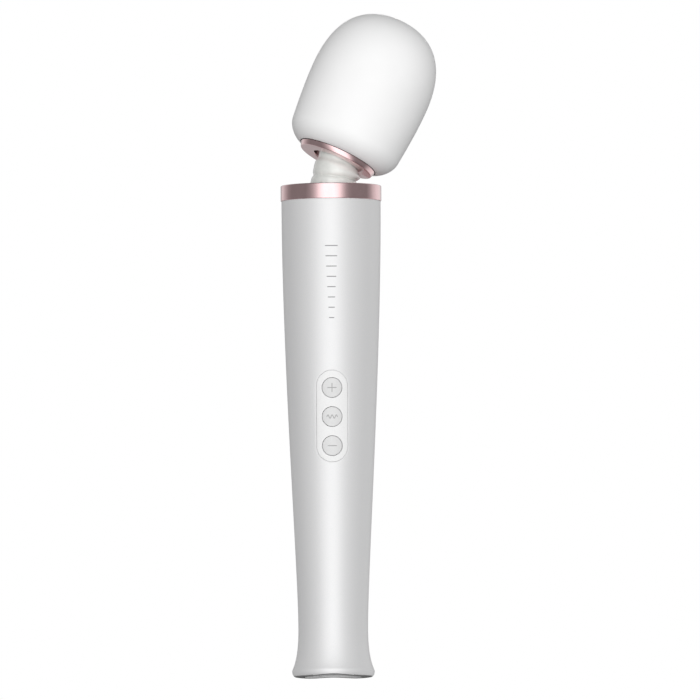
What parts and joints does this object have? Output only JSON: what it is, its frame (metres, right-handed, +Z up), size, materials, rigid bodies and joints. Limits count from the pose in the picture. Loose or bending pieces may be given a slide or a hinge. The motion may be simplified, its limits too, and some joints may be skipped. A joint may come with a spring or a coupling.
{
  "type": "handheld wand massager",
  "caption": "Cordless wand massager with a tapered handle, round control buttons, a flexible rubber neck that bends, and a soft rounded head with a spinning eccentric weight inside.",
  "frame": {"origin": "on the handle's axis, in the plane that its foot stands on", "axes": "+Z up the handle towards the head, buttons face -Y, the head leans towards +X"},
  "size_m": [0.0781, 0.0639, 0.3327],
  "materials": {
    "pearl_abs": "pearl white, glossy",
    "panel_abs": "cool white, satin",
    "button_abs": "light grey, satin",
    "rose_gold_plating": "polished rose gold plating",
    "neck_rubber": "grey-white, smooth",
    "head_silicone": "white silicone, matte",
    "inner_abs": "dark grey, moulded",
    "machined_steel": "machined",
    "cast_steel": "pressed and sintered",
    "wound_copper": "copper winding",
    "ferrite": "dark ferrite",
    "cell_sleeve": "plastic sleeve on a steel can",
    "board_laminate": "green lacquer",
    "chip_epoxy": "black moulding",
    "cushion_rubber": "dark grey, matte",
    "red_lead": "red sleeve",
    "black_lead": "black sleeve"
  },
  "bodies": {
    "handle": {"handle_front_shell": "pearl_abs", "handle_rear_shell": "pearl_abs", "control_panel": "panel_abs", "collar_ring": "rose_gold_plating", "neck_base": "inner_abs", "neck_boot": "neck_rubber", "motor_case": "machined_steel", "motor_end_cap": "inner_abs", "motor_magnet_left": "ferrite", "motor_magnet_right": "ferrite", "motor_cushion_lower": "cushion_rubber", "motor_cushion_upper": "cushion_rubber", "chassis": "inner_abs", "battery_cell_lower": "cell_sleeve", "battery_cell_upper": "cell_sleeve", "control_board": "board_laminate", "switch_plus": "chip_epoxy", "switch_mode": "chip_epoxy", "switch_minus": "chip_epoxy", "control_chip": "chip_epoxy", "charge_chip": "chip_epoxy", "base_cap": "pearl_abs", "charge_jack": "chip_epoxy", "base_screw_left": "machined_steel", "base_screw_right": "machined_steel", "board_screw_lower": "machined_steel", "board_screw_upper": "machined_steel", "neck_screw_left": "machined_steel", "neck_screw_right": "machined_steel", "charge_lead_black": "black_lead", "charge_lead_red": "red_lead", "motor_lead_black": "black_lead", "motor_lead_red": "red_lead"},
    "neck_link": {"neck_ring": "inner_abs"},
    "head": {"head_ring": "rose_gold_plating", "head_cover": "head_silicone", "head_core_lower": "inner_abs", "head_core_upper": "inner_abs", "boot_clamp": "machined_steel", "bearing_plate": "machined_steel", "bearing_bridge": "machined_steel", "bearing_lower": "machined_steel", "bearing_upper": "machined_steel", "head_screw_front": "machined_steel", "head_screw_left": "machined_steel", "head_screw_right": "machined_steel"},
    "rotor": {"motor_shaft": "machined_steel", "motor_armature": "wound_copper", "motor_commutator": "wound_copper", "coupling_hub_lower": "machined_steel", "drive_coupling": "machined_steel"},
    "weight": {"weight_shaft": "machined_steel", "eccentric_weight": "cast_steel", "coupling_hub_upper": "machined_steel"},
    "plus_key": {"button_plus": "button_abs"},
    "mode_key": {"button_mode": "button_abs"},
    "minus_key": {"button_minus": "button_abs"}
  },
  "joints": [
    {"name": "neck_tilt", "type": "hinge", "parent": "handle", "child": "neck_link", "pos_m": [0, 0, 0.253], "axis": [0, 1, 0], "range_deg": [-52.7, 3.3], "stiffness_Nm_per_rad": 3, "deforming": ["neck_boot", "drive_coupling"]},
    {"name": "neck_nod", "type": "hinge", "parent": "neck_link", "child": "head", "pos_m": [0, 0, 0.253], "axis": [-0.9085, 0, 0.4179], "range_deg": [-22, 6], "stiffness_Nm_per_rad": 3, "deforming": ["neck_boot", "drive_coupling"]},
    {"name": "motor_spin", "type": "hinge", "parent": "handle", "child": "rotor", "pos_m": [0, 0, 0.2], "axis": [0, 0, 1], "continuous": true},
    {"name": "weight_spin", "type": "hinge", "parent": "head", "child": "weight", "pos_m": [0, 0, 0.253], "axis": [0.4138, 0.1392, 0.8997], "continuous": true},
    {"name": "plus_press", "type": "slide", "parent": "handle", "child": "plus_key", "axis": [0, 1, 0], "range_m": [0, 0.0006], "stiffness_N_per_m": 400},
    {"name": "mode_press", "type": "slide", "parent": "handle", "child": "mode_key", "axis": [0, 1, 0], "range_m": [0, 0.0006], "stiffness_N_per_m": 400},
    {"name": "minus_press", "type": "slide", "parent": "handle", "child": "minus_key", "axis": [0, 1, 0], "range_m": [0, 0.0006], "stiffness_N_per_m": 400}
  ],
  "couplings": [
    {"joint": "weight_spin", "follows": "motor_spin", "ratio": 1}
  ]
}
